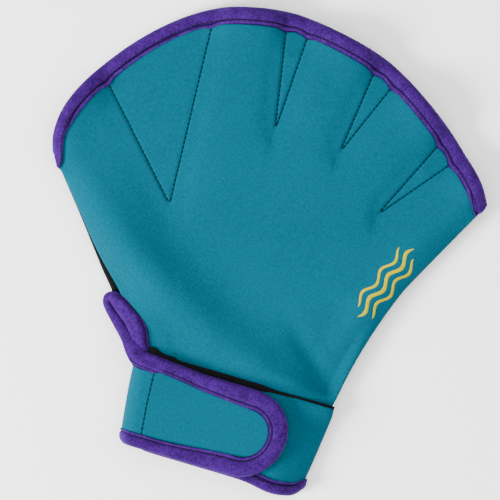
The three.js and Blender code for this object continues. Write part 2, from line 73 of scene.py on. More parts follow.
# Levels of rounding for a piece that shows and for one that hardly does
SHOWN_LEVELS = 3
HIDDEN_LEVELS = 2

# Fingertip edge, from the thumb side to the little-finger side, and the finger roots below it.
# Each row is (top x, top y, root x, root y), as shares of the glove's width and the hand's length.
EDGE_LINES = {
    "thumb side": (-0.558, 0.467, -0.448, 0.309),
    "thumb": (-0.553, 0.577, -0.358, 0.357),
    "thumb web start": (-0.498, 0.710, -0.263, 0.407),
    "thumb web middle": (-0.399, 0.853, -0.258, 0.409),
    "thumb web end": (-0.283, 0.953, -0.254, 0.412),
    "second web start": (-0.122, 1.000, -0.078, 0.689),
    "second web end": (-0.062, 0.998, -0.071, 0.689),
    "third web start": (0.111, 0.957, 0.080, 0.681),
    "third web end": (0.168, 0.927, 0.088, 0.681),
    "fourth web start": (0.312, 0.813, 0.206, 0.548),
    "fourth web end": (0.357, 0.765, 0.212, 0.544),
    "little finger": (0.413, 0.700, 0.268, 0.445),
    "little finger side": (0.440, 0.648, 0.314, 0.363),
}
WEBS = ("thumb web", "second web", "third web", "fourth web")

# Middle of the binding round the wrist slit, in mm from the hem's middle: up the back panel's edge,
# round the notch, down the palm panel's edge and over onto the strap.
# Each row is (x, y, height, width, thickness, groove share).
SLIT_BAND = (
    (-46.0, 46.5, 15.4, 7.6, 4.2, 1.0),
    (-49.6, 50.5, 15.9, 8.5, 4.6, 1.0),
    (-50.9, 53.2, 16.0, 8.8, 4.7, 1.0),
    (-52.3, 56.2, 15.9, 9.2, 4.7, 1.0),
    (-54.8, 59.3, 15.3, 9.4, 4.7, 1.0),
    (-57.4, 62.0, 14.3, 9.4, 4.7, 1.0),
    (-61.6, 64.8, 12.4, 9.0, 4.7, 1.0),
    (-66.5, 67.8, 9.8, 7.6, 4.7, 0.9),
    (-70.3, 69.2, 7.2, 5.6, 4.6, 0.5),
    (-72.2, 68.0, 6.2, 4.8, 4.6, 0.1),
    (-72.0, 65.8, 5.4, 4.6, 4.6, 0.0),
    (-70.4, 63.6, 5.0, 4.8, 4.6, 0.0),
    (-67.2, 60.7, 6.4, 5.3, 4.6, 0.0),
    (-63.1, 57.2, 8.8, 6.0, 4.6, 0.0),
    (-59.3, 54.0, 11.2, 6.6, 4.6, 0.0),
    (-56.1, 51.0, 14.6, 7.2, 4.6, 0.1),
    (-52.3, 46.9, 17.2, 8.6, 4.6, 0.5),
    (-48.1, 43.6, 18.6, 9.0, 4.4, 1.0),
    (-42.5, 42.6, 18.9, 7.8, 4.2, 1.0),
    (-35.5, 41.9, 19.0, 7.6, 3.8, 1.0),
    (-29.0, 41.7, 18.6, 7.4, 3.4, 1.0),
)

# Soft folds of the back cloth, in mm from the hem's middle: how far each reaches to its sides, and
# its course. Each place of a course is (x, y, rise).
FOLDS = {
    "ridge from the thumb to the wrist": (
        13.0,
        (
            (-92.0, 118.0, 0.5),
            (-71.0, 93.0, 2.0),
            (-40.0, 76.0, 2.4),
            (-15.0, 64.0, 3.6),
            (8.0, 57.0, 4.0),
            (24.0, 51.0, 3.0),
        ),
    ),
    "hollow beside the wrist": (
        19.0,
        (
            (54.0, 98.0, 0.0),
            (48.0, 86.0, -2.5),
            (45.0, 74.0, -4.0),
            (46.0, 62.0, -3.5),
            (48.0, 52.0, -2.0),
        ),
    ),
    "crease above the seam": (
        5.0,
        (
            (12.0, 88.0, 0.0),
            (24.0, 76.0, -1.2),
            (36.0, 65.0, -1.8),
            (46.0, 56.0, -1.6),
            (50.0, 50.0, -0.5),
        ),
    ),
}

# How the back cloth relaxes: its thickness, a place on the ridge and the way from there across the
# back, the heights that the back sinks and the webs rise towards, each with its share of the way,
# and how far in from the rim all of that is reached.
SHEET = 2.2 * MM
RIDGE_FOOT = (-71.0, 93.0)
BESIDE_RIDGE = (0.48, 0.88)
FLAT_BACK = 12.6 * MM
BACK_SINKING = 0.85
SHALLOW_WEB = 11.5 * MM
WEB_FILLING = 0.88
RIM_REACH = 22 * MM

# Corners that are drawn along, in mm from the hem's middle.
# Each row is (x, y, reach, (shift along x, along y, up)).
BACK_PULLS = (
    (-46, 48, 5, (-3.0, -1.5, 0)),
    (-41, 51.5, 4.5, (-1.5, -1.8, 0)),
    (-71, 75, 15, (1.8, 0.5, 0)),
)
THUMB_END_PULLS = (
    (-119.5, 131.0, 4.5, (3.0, -3.4, 0)),
    (-115.5, 126.5, 3.5, (1.8, -3.2, 0)),
)
STRAP_PULLS = ((-57, 45.5, 5, (3.8, 0.3, -1.0)),)

# How the strap's upper edge climbs towards the thumb side, and its lower end lies further in
STRAP_CLIMB = 2.4 * MM
STRAP_CLIMB_START = -16 * MM
STRAP_CLIMB_RUN = 28 * MM
STRAP_LOW_END = 1.8 * MM

# How the cuff hangs at the little-finger side
HEM_SAG = 2.3 * MM
HEM_SAG_MIDDLE = 33 * MM
HEM_SAG_REACH = 10 * MM
HEM_CORNER_LIFT = 3.2 * MM
CUFF_SPREAD = 0.4 * MM
CUFF_TOP_SPREAD = 0.5 * MM
CUFF_FALL = 4.5 * MM

# Sewing: how far cuff and back close up under the seam, the web stitches' hollow, the reach of a
# binding's groove, how far the fingertip binding gathers between the webs, and where they hold it.
SEAM_CLOSING = 0.7 * MM
WEB_HOLLOW_DEPTH = 0.45 * MM
WEB_HOLLOW_REACH = 0.8 * MM
GROOVE_REACH = 0.5 * MM
MOUTH_GATHER = 1.2 * MM
WEB_HOLD = 3 * MM

# A binding's "across" attribute: its value in the groove, how much it grows over the flange, and the
# run over which it falls by one over the roll. These values draw its painted shade, navy lines in the
# groove and along the inner edge, and the painted highlight on its flange.
ACROSS_GROOVE = 0.5
ACROSS_FLANGE = 0.2
ACROSS_ROLL_RUN = 10 * MM
FLANGE_HIGHLIGHT_STARTS = (0.49, 0.53)
PAINTED_SHADE_LINES = (0.465, 0.49, 0.515, 0.55, 0.63, 0.655)

# Steps between the places of a sewn or bound line
PRESS_STEP = 0.4 * MM
RIM_STEP = 0.5 * MM
WEB_STEP = 0.6 * MM
GROOVE_STEP = 0.7 * MM

# Stitches: how much of its step one fills, how high it is for its width, and how far rows are raised
STITCH_FILL = 0.96
THREAD_HEIGHT = 0.9
GROOVE_STITCH_LIFT = 0.05 * MM
WEB_STITCH_LIFT = 0.2 * MM
STRAP_STITCH_LIFT = 0.12 * MM

# Rows of stitches, in mm from the hem's middle
HEM_STITCHES = ((17, 4.0), (26, 3.0), (33, 2.4), (40, 3.4), (45, 5.4))
STRAP_STITCHES = ((-39.4, 39.0), (-38.7, 24.5), (-36.9, 7.2))

# The slit's band: corners of its section, how square that is, how far its stitched roll swells, and
# over how many stations its start and its end close.
SLIT_RING = 40
SLIT_SQUARENESS = 0.8
SLIT_SWELLING = 0.35
SLIT_CLOSING = (6, 26)

# The seam strip is black: partly the black seam between the back panel and the cuff, partly painted shadow
# in the gap under the raised back panel above the strap.
# The seam strip's outline, in mm from the hem's middle: its right and left end, its lower and upper
# edge, how far those come in at the little-finger side, how far the upper one goes out at the thumb
# side, and its teeth.
SEAM_ENDS = (51.6, -47.0)
SEAM_LOW = 44.6
SEAM_HIGH = 49.2
SEAM_LOW_NARROWING = 1.6
SEAM_HIGH_NARROWING = 1.2
SEAM_END_WIDENING = 1.8
TOOTH_WIDTH = 2.6
TOOTH_DEPTH = 0.4

# The seam strip's height over the cloth, how far it is sunk in, its raised end and its thickness
SEAM_RIDGE = 0.45 * MM
SEAM_SINKING = 0.1 * MM
SEAM_END_RISE = 1.3 * MM
SEAM_THICKNESS = 0.8 * MM

# The printed waves: their middle in mm from the hem's middle, the way they run and the way across.
# Each row of PRINTED_WAVES is (shift across in mm, share of the full length, width in mm).
PRINT_MIDDLE = (58.2, 114.4)
PRINT_ALONG = np.array((0.390, 0.921, 0))
PRINT_ACROSS = np.array((-0.921, 0.390, 0))
PRINTED_WAVES = ((4.6, 0.82, 1.5), (0.0, 1.0, 2.0), (-4.6, 0.82, 1.5))
WAVE_SWING = 1.5 * MM
WAVE_PERIOD = 14.5 * MM
INK_THICKNESS = 0.25 * MM
INK_LIFT = 0.12 * MM

# Stage, in metres: the camera looks straight down from its height, turned by so many degrees.
# Each row of LIGHTS is (name, place, size, power in watts).
CAMERA_PLACE = (1.74 * MM, -4.27 * MM)
CAMERA_HEIGHT = 2.0
CAMERA_TURN = 16.5
VIEW_WIDTH = 0.250
FLOOR_SIZE = 4
FLOOR_DROP = -0.2 * MM
FLOOR_COLOUR = (0.93, 0.93, 0.93)
LIGHTS = (
    ("key_light", (-1.05, -0.77, 0.8), 0.6, 80),
    ("fill_light", (0.8, 0.7, 1.3), 1.4, 12),
    ("top_light", (0.0, 0.1, 1.6), 1.6, 28),
)


class GloveSizes(bpy.types.PropertyGroup):
    """Sizes of the sewn details"""

    mouth_binding: FloatProperty(
        name="Mouth binding", description="Width of the fingertip binding", default=10.5 * MM, unit="LENGTH"
    )
    strap_side: FloatProperty(
        name="Strap side binding", description="Width along the strap", default=7.2 * MM, unit="LENGTH"
    )
    strap_end: FloatProperty(
        name="Strap end binding", description="Width at the strap's end", default=10.5 * MM, unit="LENGTH"
    )
    hem_binding: FloatProperty(
        name="Hem binding", description="Width of the binding at the hem", default=7 * MM, unit="LENGTH"
    )
    flange: FloatProperty(
        name="Flange",
        description="From a binding's inner edge to its groove",
        default=1.5 * MM,
        unit="LENGTH",
    )
    mouth_flange: FloatProperty(
        name="Mouth flange",
        description="From the fingertip binding's inner edge to its groove",
        default=2.6 * MM,
        unit="LENGTH",
    )
    end_flange: FloatProperty(
        name="End flange",
        description="The same at the strap's round end",
        default=2.2 * MM,
        unit="LENGTH",
    )
    groove: FloatProperty(
        name="Groove",
        description="How deep the stitches pull a binding in",
        default=0.55 * MM,
        unit="LENGTH",
    )
    puff: FloatProperty(
        name="Puff", description="How far a binding's roll swells out", default=0.55 * MM, unit="LENGTH"
    )
    stitch: FloatProperty(
        name="Stitch", description="Length of one stitch with its gap", default=2.4 * MM, unit="LENGTH"
    )
    thread: FloatProperty(
        name="Thread", description="Width of the thread", default=0.6 * MM, unit="LENGTH"
    )
    wave: FloatProperty(
        name="Printed wave", description="Length of the middle wave", default=44 * MM, unit="LENGTH"
    )


class GloveColours(bpy.types.PropertyGroup):
    """Colours of the cloth, bindings and thread"""

    teal: FloatVectorProperty(
        name="Teal cloth",
        description="Face of the back panel, cuff and strap",
        subtype="COLOR",
        size=3,
        default=(0.0, 0.054, 0.083),
    )
    purple: FloatVectorProperty(
        name="Purple tape",
        description="Face of the bindings",
        subtype="COLOR",
        size=3,
        default=(0.0195, 0.003, 0.06),
    )
    black: FloatVectorProperty(
        name="Black cloth",
        description="Face of the palm panel",
        subtype="COLOR",
        size=3,
        default=(0.0012, 0.0012, 0.0018),
    )
    thread: FloatVectorProperty(
        name="Thread",
        description="Stitches",
        subtype="COLOR",
        size=3,
        default=(0.0003, 0.0008, 0.0025),
    )
    ink: FloatVectorProperty(
        name="Ink",
        description="Plain printed waves",
        subtype="COLOR",
        size=3,
        default=(0.34, 0.285, 0.0),
    )


def deselect_all():
    if bpy.context.object and bpy.context.object.mode != "OBJECT":
        bpy.ops.object.mode_set(mode="OBJECT")
    bpy.ops.object.select_all(action="DESELECT")


def make_active(piece):
    deselect_all()
    piece.select_set(True)
    bpy.context.view_layer.objects.active = piece


def copy_node(node, name):
    """A copy of a CAD node as a closed quad mesh of its own."""
    piece = bpy.data.objects.new(name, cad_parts[node].data.copy())
    piece.data.name = name
    bpy.context.scene.collection.objects.link(piece)
    make_active(piece)
    bpy.ops.object.mode_set(mode="EDIT")
    bpy.ops.mesh.select_all(action="SELECT")
    bpy.ops.mesh.remove_doubles(threshold=0.01 * MM)
    bpy.ops.mesh.tris_convert_to_quads(face_threshold=math.radians(60), shape_threshold=math.radians(80))
    bpy.ops.object.mode_set(mode="OBJECT")
    return piece


def apply_modifiers(piece):
    make_active(piece)
    for modifier in list(piece.modifiers):
        bpy.ops.object.modifier_apply(modifier=modifier.name)


def round_off(piece, levels):
    """Turns a faceted sheet into a smooth one."""
    modifier = piece.modifiers.new("rounding", "SUBSURF")
    modifier.levels = levels
    modifier.render_levels = levels
    apply_modifiers(piece)
    bpy.ops.object.shade_smooth_by_angle(angle=math.radians(70))


def thicken(piece, thickness):
    """Gives an open strip a body below it."""
    wall = piece.modifiers.new("wall", "SOLIDIFY")
    wall.thickness = thickness
    wall.offset = -1
    apply_modifiers(piece)


def read_points(piece):
    points = np.empty(len(piece.data.vertices) * 3, np.float64)
    piece.data.vertices.foreach_get("co", points)
    return points.reshape(-1, 3)


def read_normals(piece):
    normals = np.empty(len(piece.data.vertices) * 3, np.float64)
    piece.data.vertices.foreach_get("normal", normals)
    return normals.reshape(-1, 3)


def write_points(piece, points):
    """Sets the points of a piece, none of them below the floor."""
    points[:, 2] = np.maximum(points[:, 2], 0)
    piece.data.vertices.foreach_set("co", points.ravel())
    piece.data.update()


def ease(low, high, value):
    t = np.clip((value - low) / (high - low), 0, 1)
    return t * t * (3 - 2 * t)


def flat_tree(spots):
    """A search tree over places, seen from above."""
    spots = list(spots)
    tree = KDTree(len(spots))
    for n, spot in enumerate(spots):
        tree.insert((spot[0], spot[1], 0), n)
    tree.balance()
    return tree


def distances(points, chain):
    """From each point to the nearest of a chain of close places, seen from above."""
    tree = flat_tree(chain)
    return np.array([tree.find((p[0], p[1], 0))[2] for p in points])


def surface_tree(*names):
    vertices, faces = [], []
    for mesh in (bpy.data.objects[name].data for name in names):
        start = len(vertices)
        vertices.extend(v.co.copy() for v in mesh.vertices)
        faces.extend(tuple(start + v for v in p.vertices) for p in mesh.polygons)
    return BVHTree.FromPolygons(vertices, faces)


def drop_on(tree, spots, lift=0.0):
    """Lays the spots on the surface from above, a little over it."""
    laid = []
    for spot in spots:
        hit = tree.ray_cast(Vector((spot[0], spot[1], 0.1)), Vector((0, 0, -1)))[0]
        if hit is not None:
            laid.append(np.array(hit + Vector((0, 0, lift))))
    return np.array(laid)


def strip_faces(stations, across, ring=False):
    """Quads between neighbouring stations of a strip, or of a closed tube."""
    faces = []
    for n in range(stations - 1):
        start, end = n * across, (n + 1) * across
        for m in range(across if ring else across - 1):
            beside = (m + 1) % across
            faces.append((start + m, start + beside, end + beside, end + m))
    return faces


# Places on the hand


def from_hem(x, y):
    """A place on the floor, in mm from the hem's middle."""
    return HEM + np.array((x * MM, y * MM, 0.0))


def hand_place(x, y):
    """Shares of the glove's width and the hand's length, as a place on the floor."""
    low = CUFF_HEIGHT + SEAM_GAP
    return HEM + np.array((x * GLOVE_WIDTH, low + y * (GLOVE_LENGTH - low), 0.0))


def curve_through(spots, steps):
    """A smooth chain through the spots, with tangents that suit uneven gaps."""
    spots = [2 * spots[0] - spots[1], *spots, 2 * spots[-1] - spots[-2]]
    chain = []
    for n in range(1, len(spots) - 2):
        a, b, c, d = spots[n - 1 : n + 3]
        ta, tb, tc = (math.sqrt(np.linalg.norm(q - p)) for p, q in ((a, b), (b, c), (c, d)))
        start = ((b - a) / ta - (c - a) / (ta + tb) + (c - b) / tb) * tb
        end = ((c - b) / tb - (d - b) / (tb + tc) + (d - c) / tc) * tb
        for step in range(steps):
            t = step / steps
            chain.append(
                (2 * t**3 - 3 * t**2 + 1) * b
                + (t**3 - 2 * t**2 + t) * start
                + (3 * t**2 - 2 * t**3) * c
                + (t**3 - t**2) * end
            )
    chain.append(spots[-2])
    return chain


def even_chain(chain, step):
    """The same chain with places an equal step apart."""
    chain = np.array(chain)
    runs = np.concatenate(([0], np.cumsum(np.linalg.norm(np.diff(chain[:, :3], axis=0), axis=1))))
    wanted = np.linspace(0, runs[-1], max(2, int(round(runs[-1] / step)) + 1))
    return np.stack([np.interp(wanted, runs, chain[:, axis]) for axis in range(chain.shape[1])], axis=1)


def mouth_edge(inset=0.0, steps=24):
    """The fingertip edge, moved in along the hand's lines."""
    rows = list(EDGE_LINES.values())
    low = [hand_place(row[2], row[3]) for row in rows]
    inner = []
    for n, spot in enumerate(curve_through([hand_place(row[0], row[1]) for row in rows], steps)):
        line, step = divmod(n, steps)
        after = min(line + 1, len(low) - 1)
        root = low[line] + (low[after] - low[line]) * (step / steps)
        inner.append(spot + (root - spot) / np.linalg.norm(root - spot) * inset)
    return inner


def web_line(web, inset):
    """The stitched V of a web, from the binding round the finger root and back."""
    ends = [EDGE_LINES[f"{web} {side}"] for side in ("start", "end")]
    (top_a, root_a), (top_b, root_b) = ((hand_place(*row[:2]), hand_place(*row[2:])) for row in ends)

    def inside(top, root):
        return top + (root - top) * (inset / np.linalg.norm(root - top))

    middle = (root_a + root_b) / 2
    down = root_a + root_b - top_a - top_b
    tip = middle + down / np.linalg.norm(down) * 0.6 * MM
    beside = (root_b - root_a) * 0.15
    return [inside(top_a, root_a), middle - beside, tip, middle + beside, inside(top_b, root_b)]


def taper(y):
    """How much narrower the cuff is at a height over the hem."""
    return 1 - CUFF_TAPER * (1 - np.clip(y / CUFF_HEIGHT, 0, 1)) ** CUFF_TAPER_POWER


def strap_widening(x):
    """How far the strap's binding has grown from its side width to its end width."""
    return ease(STRAP_END_CENTRE - 2 * STRAP_RADIUS, STRAP_END_CENTRE, x)


def strap_rise(x, y):
    """The strap's upper edge climbs towards the thumb side."""
    climb = np.clip((STRAP_CLIMB_START - x) / STRAP_CLIMB_RUN, 0, 1)
    return STRAP_CLIMB * climb * ease(26 * MM, 42 * MM, y)


def strap_rim(inset_side, inset_end, steps=40):
    """The strap's outline over the back of the wrist, moved in, from its top to its lower side."""
    chain = []
    for x in np.linspace(-44 * MM, STRAP_END_CENTRE, steps):
        widening = (inset_end - inset_side) * strap_widening(x)
        chain.append((x, STRAP_AXIS + STRAP_RADIUS - inset_side - widening))
    reach = STRAP_RADIUS - inset_end
    for angle in np.linspace(math.pi / 2, -math.pi / 2, steps)[1:-1]:
        chain.append((STRAP_END_CENTRE + reach * math.cos(angle), STRAP_AXIS + reach * math.sin(angle)))
    chain += [(x, 2 * STRAP_AXIS - y) for x, y in reversed(chain[:steps])]
    return [HEM + np.array((x * taper(y), y + strap_rise(x, y), 0.0)) for x, y in chain]


def lift_strap(points):
    """Raises the strap's upper edge over the back of the wrist and draws in its low end and corner."""
    rise = strap_rise(points[:, 0] - HEM[0], points[:, 1] - HEM[1])
    points[:, 1] += rise * ease(4 * MM, STRAP_BACK_HEIGHT, points[:, 2])
    low_end = (1 - ease(0, 10 * MM, points[:, 1] - HEM[1])) * ease(32 * MM, 47 * MM, HEM[0] - points[:, 0])
    points[:, 0] += STRAP_LOW_END * low_end
    pull(points, STRAP_PULLS)
    return points


def fold_heights(points):
    """How far the soft folds raise or sink the back cloth at each point."""
    rise = np.zeros(len(points))
    for reach, course in FOLDS.values():
        chain = even_chain([from_hem(x, y) + (0, 0, height * MM) for x, y, height in course], 1 * MM)
        tree = flat_tree(chain)
        for n, point in enumerate(points):
            nearest = tree.find((point[0], point[1], 0))
            rise[n] += chain[nearest[1], 2] * math.exp(-((nearest[2] / (reach * MM)) ** 2))
    return rise * ease(0, 9 * MM, points[:, 1] - HEM[1] - CUFF_HEIGHT)


def relax_cloth(piece):
    """Makes the webs' hollows shallower and lets the back sink beside the ridge, away from the rim."""
    points, normals = read_points(piece), read_normals(piece)
    flat = points * (1, 1, 0)
    from_rim = distances(flat, flat[np.abs(normals[:, 2]) < 0.3])
    inside = ease(0, RIM_REACH, from_rim)
    top = points[:, 2] + SHEET * (1 - ease(-0.5, 0.5, normals[:, 2]))
    fill = WEB_FILLING * soft_excess(SHALLOW_WEB - top)
    beyond = ease(-6 * MM, 34 * MM, (flat - from_hem(*RIDGE_FOOT)) @ (*BESIDE_RIDGE, 0))
    sink = BACK_SINKING * soft_excess(top - FLAT_BACK) * beyond
    lift = (fill - sink) * inside
    piece.data.attributes.new("lift", "FLOAT", "POINT").data.foreach_set("value", lift.astype(np.float32))
    points[:, 2] += lift + fold_heights(points) * ease(0, 7 * MM, from_rim)
    write_points(piece, points)


def follow(points, cloth):
    """Moves a binding's points up and down with the cloth it holds."""
    mesh = bpy.data.objects[cloth].data
    tree = flat_tree(vertex.co for vertex in mesh.vertices)
    lifts = mesh.attributes["lift"].data
    for point in points:
        point[2] += lifts[tree.find((point[0], point[1], 0))[1]].value
    return points


def soft_excess(value):
    """How far a value is above zero, with a rounded start."""
    return MM * np.log1p(np.exp(np.clip(value / MM, -30, 30)))


def pull(points, rows):
    """Draws the points near each place along by its shift, one place after the other."""
    for x, y, reach, shift in rows:
        away = np.linalg.norm((points - from_hem(x, y))[:, :2], axis=1)
        near = np.exp(-((away / (reach * MM)) ** 2))
        points += near[:, None] * np.array(shift) * MM


def hang_cuff(points):
    """At the little-finger side the hem sags and lifts its corner, and the cuff's face falls off."""
    x = points[:, 0] - HEM[0]
    near = 1 - ease(2 * MM, 26 * MM, points[:, 1] - HEM[1])
    sag = HEM_SAG * np.exp(-(((x - HEM_SAG_MIDDLE) / HEM_SAG_REACH) ** 2))
    corner = HEM_CORNER_LIFT * np.clip((x - 41 * MM) / (6 * MM), 0, 1) ** 2
    points[:, 1] += near * (corner - sag)
    points[:, 0] += CUFF_SPREAD * ease(30 * MM, 44 * MM, x)
    face = ease(4 * MM, 9 * MM, points[:, 2]) * (1 - ease(34 * MM, 46 * MM, points[:, 1] - HEM[1]))
    points[:, 2] -= CUFF_FALL * ease(31 * MM, 50 * MM, x) * face
    return points


# Materials

TEAL_TINT = (0.0, 0.6, 0.8)
TAPE_TINT = (0.35, 0.15, 1.0)
INK_TINT = (1, 0.8, 0.1)
BLACK = (0, 0, 0)
WHITE = (1, 1, 1)


def new_material(name, roughness, tint=WHITE):
    material = bpy.data.materials.new(name)
    material.use_nodes = True
    nodes = material.node_tree.nodes
    shader = nodes["Principled BSDF"]
    shader.inputs["Roughness"].default_value = roughness
    shader.inputs["Specular IOR Level"].default_value = 0.12
    shader.inputs["Specular Tint"].default_value = (*tint, 1)
    shader.inputs["Sheen Tint"].default_value = (*tint, 1)
    return material, nodes, material.node_tree.links, shader


def texture(nodes, links, place, kind, **values):
    node = nodes.new(kind)
    for key, value in values.items():
        node.inputs[key.replace("_", " ")].default_value = value
    links.new(place, node.inputs["Vector"])
    return node.outputs["Fac"]


def add_share(nodes, links, first, second, share):
    """first + share * second"""
    node = nodes.new("ShaderNodeMath")
    node.operation = "MULTIPLY_ADD"
    node.inputs[1].default_value = share
    links.new(second, node.inputs[0])
    links.new(first, node.inputs[2])
    return node.outputs[0]


def ramp(nodes, links, value, *stops):
    """Colours along a value, as (position, colour) stops."""
    node = nodes.new("ShaderNodeValToRGB")
    elements = node.color_ramp.elements
    while len(elements) < len(stops):
        elements.new(0.5)
    for element, (position, colour) in zip(elements, stops):
        element.position = position
        element.color = (*colour, 1)
    links.new(value, node.inputs["Fac"])
    return node.outputs["Color"]


def mix(nodes, links, factor, first, second):
    """Blends two colours; the second may be a socket or a plain colour."""
    node = nodes.new("ShaderNodeMix")
    node.data_type = "RGBA"
    links.new(factor, node.inputs[0])
    links.new(first, node.inputs[6])
    if isinstance(second, tuple):
        node.inputs[7].default_value = (*second, 1)
    else:
        links.new(second, node.inputs[7])
    return node.outputs[2]


def bump(nodes, links, shader, value, strength, distance):
    node = nodes.new("ShaderNodeBump")
    node.inputs["Strength"].default_value = strength
    node.inputs["Distance"].default_value = distance
    links.new(value, node.inputs["Height"])
    links.new(node.outputs["Normal"], shader.inputs["Normal"])


def shade(colour, factor):
    return tuple(min(1.0, c * factor) for c in colour)


def jersey_material(name, colour, tint, slant=124, contrast=0.2):
    """Knitted face of foam rubber sheet: fine slanting ribs, soft mottling and a dry sheen."""
    material, nodes, links, shader = new_material(name, 0.85, tint)
    place = nodes.new("ShaderNodeTexCoord").outputs["Object"]
    turned = nodes.new("ShaderNodeMapping")
    turned.inputs["Rotation"].default_value = (0, 0, math.radians(slant))
    links.new(place, turned.inputs["Vector"])
    slanting = turned.outputs["Vector"]
    ribs = texture(nodes, links, slanting, "ShaderNodeTexWave", Scale=270.0, Distortion=3.0, Detail=2.0)
    grain = texture(nodes, links, place, "ShaderNodeTexNoise", Scale=900.0, Detail=3.0, Roughness=0.6)
    clouds = texture(nodes, links, place, "ShaderNodeTexNoise", Scale=22.0, Detail=3.0, Roughness=0.5)
    knit = add_share(nodes, links, grain, ribs, 0.22)
    tone = add_share(nodes, links, knit, clouds, 0.30)
    base = ramp(nodes, links, tone, (0.50, shade(colour, 1 - contrast)), (1.0, shade(colour, 1 + contrast)))
    links.new(base, shader.inputs["Base Color"])
    bump(nodes, links, shader, knit, 0.5, 0.12 * MM)
    shader.inputs["Sheen Weight"].default_value = 0.06
    shader.inputs["Sheen Roughness"].default_value = 0.5
    return material


def tape_material(name, colour):
    """Soft folded stretch tape: fuzzy grain, painted shade in the groove and along the inner edge, and a
    painted highlight on the flange between.
    """
    material, nodes, links, shader = new_material(name, 0.75, TAPE_TINT)
    place = nodes.new("ShaderNodeTexCoord").outputs["Object"]
    fuzz = texture(nodes, links, place, "ShaderNodeTexNoise", Scale=1000.0, Detail=4.0, Roughness=0.7)
    streaks = texture(nodes, links, place, "ShaderNodeTexNoise", Scale=160.0, Detail=3.0, Roughness=0.6)
    tone = add_share(nodes, links, fuzz, streaks, 0.5)
    roll = ramp(nodes, links, tone, (0.55, shade(colour, 0.4)), (0.92, shade(colour, 1.8)))
    # Painted highlight: the flange, a ridge between the groove and the inner edge, is drawn lighter and
    # pinker than the roll
    pale = (colour[0] * 1.2, colour[1] * 1.3, colour[2] * 1.15)
    flange = ramp(nodes, links, tone, (0.55, shade(pale, 0.5)), (0.92, shade(pale, 1.8)))
    across = nodes.new("ShaderNodeAttribute")
    across.attribute_name = "across"
    place_across = across.outputs["Fac"]
    past = ramp(nodes, links, place_across, *zip(FLANGE_HIGHLIGHT_STARTS, (BLACK, WHITE)))
    # Painted shade: navy lines in the stitched groove and along the inner edge, where the tape's edge
    # shades the cloth
    shade_shares = (BLACK, WHITE, WHITE, BLACK, BLACK, WHITE)
    painted_shade = ramp(nodes, links, place_across, *zip(PAINTED_SHADE_LINES, shade_shares))
    navy = (colour[0] * 0.1, colour[1] * 0.3, colour[2] * 0.2)
    face = mix(nodes, links, past, roll, flange)
    links.new(mix(nodes, links, painted_shade, face, navy), shader.inputs["Base Color"])
    bump(nodes, links, shader, tone, 0.6, 0.18 * MM)
    shader.inputs["Sheen Weight"].default_value = 0.1
    return material


def plain_material(name, colour, roughness, scale=1500.0, low=0.6, high=1.4, tint=WHITE):
    """Thread, seam, ink, hook tape or floor: one colour with a grain."""
    material, nodes, links, shader = new_material(name, roughness, tint)
    place = nodes.new("ShaderNodeTexCoord").outputs["Object"]
    grain = texture(nodes, links, place, "ShaderNodeTexNoise", Scale=scale, Detail=3.0)
    base = ramp(nodes, links, grain, (0.35, shade(colour, low)), (0.65, shade(colour, high)))
    links.new(base, shader.inputs["Base Color"])
    bump(nodes, links, shader, grain, 0.3, 0.1 * MM)
    return material


# Pieces


def finish_piece(piece, slot, material, *nodes):
    piece.data.materials.clear()
    piece.data.materials.append(material)
    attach(piece, "root")
    if nodes:
        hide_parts(*nodes)
    return piece


def new_piece(name, points, faces):
    mesh = bpy.data.meshes.new(name)
    mesh.from_pydata([tuple(p) for p in points], [], faces)
    piece = bpy.data.objects.new(name, mesh)
    bpy.context.scene.collection.objects.link(piece)
    make_active(piece)
    bpy.ops.object.mode_set(mode="EDIT")
    bpy.ops.mesh.select_all(action="SELECT")
    bpy.ops.mesh.normals_make_consistent(inside=False)
    bpy.ops.object.mode_set(mode="OBJECT")
    bpy.ops.object.shade_smooth()
    return piece


def press_lines(piece, chains, depth, reach):
    """Pulls the cloth's upper face in along sewn lines."""
    points, normals = read_points(piece), read_normals(piece)
    flat = (1, 1, 0)
    sewn = np.concatenate([even_chain(chain, PRESS_STEP) for chain in chains])
    near = distances(points * flat, sewn * flat)
    press = depth * np.exp(-((near / reach) ** 2)) * np.clip(normals[:, 2] * 2, 0, 1)
    write_points(piece, points - normals * press[:, None])


def stitch_row(name, chain, material):
    """One row of short thread pieces that lie along the chain."""
    sizes = bpy.context.scene.glove_sizes
    deselect_all()
    bpy.ops.mesh.primitive_uv_sphere_add(segments=8, ring_count=6, radius=0.5, rotation=(0, math.pi / 2, 0))
    pattern = bpy.context.object
    bpy.ops.object.transform_apply(location=False, rotation=True, scale=False)
    base = read_points(pattern)
    faces = [tuple(p.vertices) for p in pattern.data.polygons]
    bpy.data.objects.remove(pattern, do_unlink=True)
    spots = even_chain(chain, sizes.stitch)
    points, polygons = [], []
    for n in range(len(spots) - 1):
        along = spots[n + 1] - spots[n]
        span = np.linalg.norm(along)
        along = along / span
        side = np.cross((0, 0, 1), along)
        side /= np.linalg.norm(side)
        up = np.cross(along, side)
        laid = base * (span * STITCH_FILL, sizes.thread, sizes.thread * THREAD_HEIGHT)
        middle = (spots[n] + spots[n + 1]) / 2
        points.append(middle + laid[:, :1] * along + laid[:, 1:2] * side + laid[:, 2:] * up)
        polygons.extend(tuple(n * len(base) + v for v in face) for face in faces)
    return finish_piece(new_piece(name, np.concatenate(points), polygons), "black_sheet", material)


def set_across(piece, from_groove, flange):
    """Stores where each point lies across a binding, from its roll over its groove to its inner edge."""
    past, before = from_groove / flange * ACROSS_FLANGE, from_groove / ACROSS_ROLL_RUN
    values = ACROSS_GROOVE + np.where(from_groove > 0, past, before)
    attribute = piece.data.attributes.new("across", "FLOAT", "POINT")
    attribute.data.foreach_set("value", np.clip(values, 0, 1).astype(np.float32))


